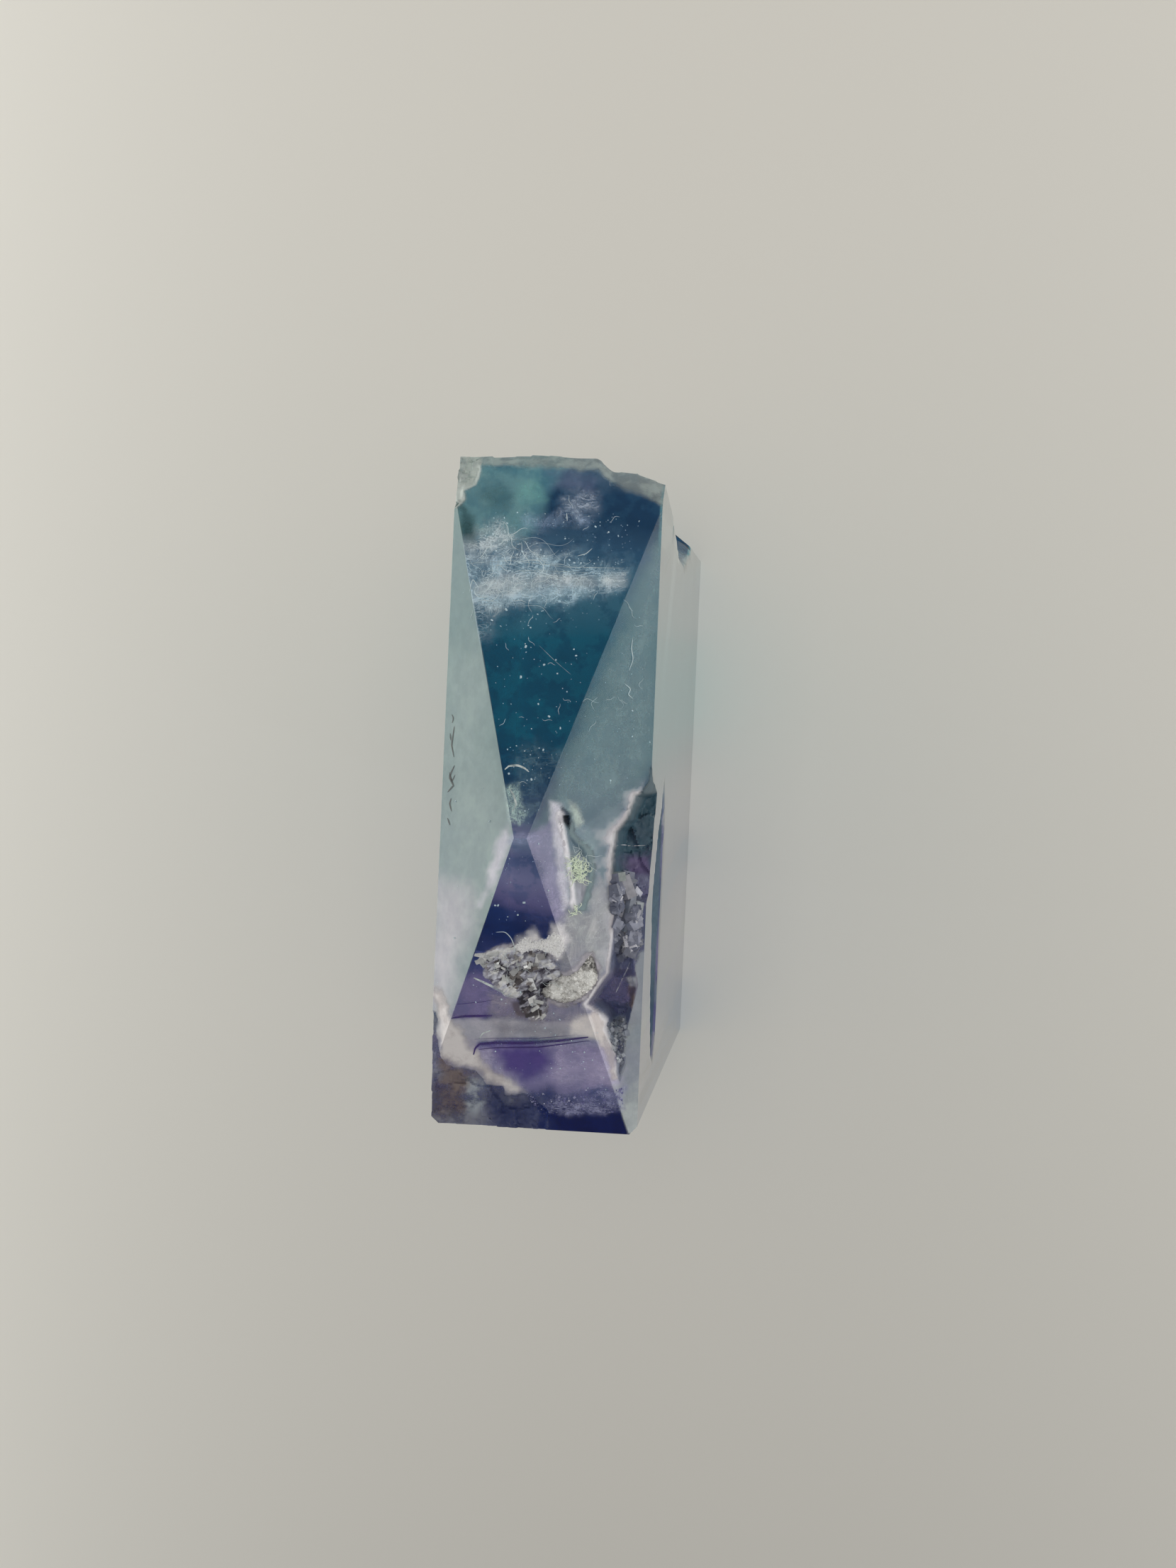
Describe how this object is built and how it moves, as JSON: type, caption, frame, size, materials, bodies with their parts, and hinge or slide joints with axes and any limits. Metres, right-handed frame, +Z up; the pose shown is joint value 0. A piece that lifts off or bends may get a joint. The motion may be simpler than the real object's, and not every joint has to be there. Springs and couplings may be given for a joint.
{
  "type": "fluorite generator",
  "caption": "Polished slab-shaped fluorite tower with a flat base, a low faceted point, natural hollows and crystal crusts.",
  "frame": {"origin": "centre of the flat base, under the middle of the bounding box", "axes": "+Z up to the point, Y along the slab's long side with the purple end at -Y, +X through the broad wall that holds the side cavity"},
  "size_m": [0.0178, 0.0582, 0.0869],
  "materials": {
    "fluorite": "polished clear stone, banded teal, green, navy and purple, with white veils",
    "sugar_druse": "fine sparkling crystals",
    "block_druse": "pale grey-lavender blocky crystals"
  },
  "bodies": {
    "root": {"fluorite_generator": "fluorite", "druzy_crust": "sugar_druse", "cavity_crust": "block_druse"}
  },
  "joints": []
}
